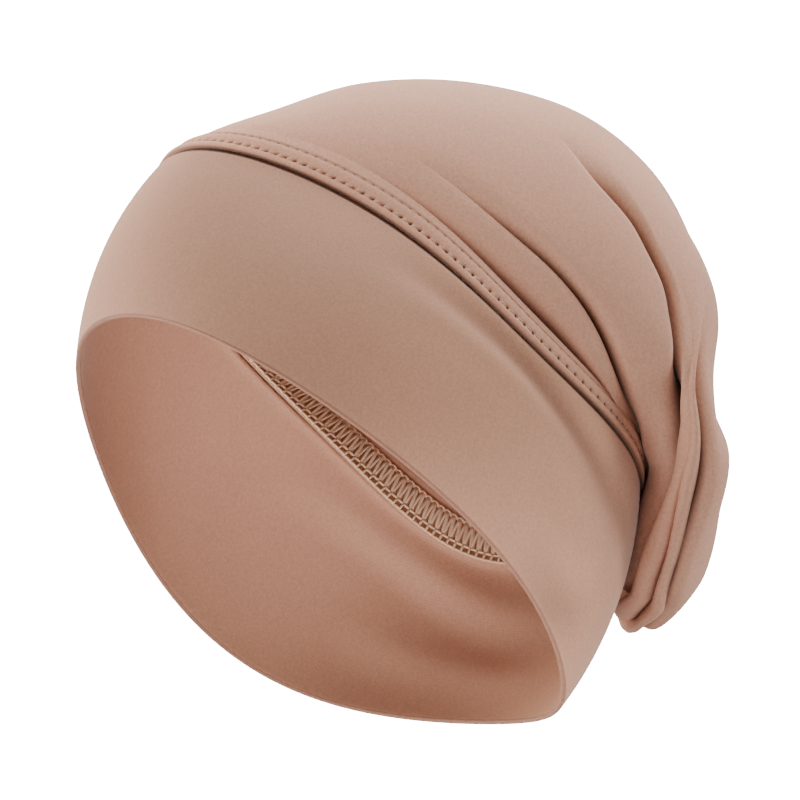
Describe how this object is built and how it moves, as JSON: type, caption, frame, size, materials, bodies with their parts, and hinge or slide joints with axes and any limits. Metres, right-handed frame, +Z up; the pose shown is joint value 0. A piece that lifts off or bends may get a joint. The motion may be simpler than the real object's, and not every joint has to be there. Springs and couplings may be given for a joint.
{
  "type": "chemo cap",
  "caption": "Slouchy jersey chemo cap with a wide double brow band, an overlocked seam inside and a loose crown that hangs over the nape in soft folds.",
  "frame": {"origin": "inside of the crown at its highest point, where the top of a head holds the cap up", "axes": "+Z up as worn, -Y out of the brow, +X to the wearer's left"},
  "size_m": [0.1678, 0.2068, 0.2187],
  "materials": {
    "band_jersey": "matte brushed jersey in dusty taupe",
    "crown_jersey": "matte brushed jersey in dusty taupe",
    "overlock_thread": "matte overlocked thread in warm beige"
  },
  "bodies": {
    "root": {"band": "band_jersey", "crown": "crown_jersey", "seam_allowance": "overlock_thread"}
  },
  "joints": []
}
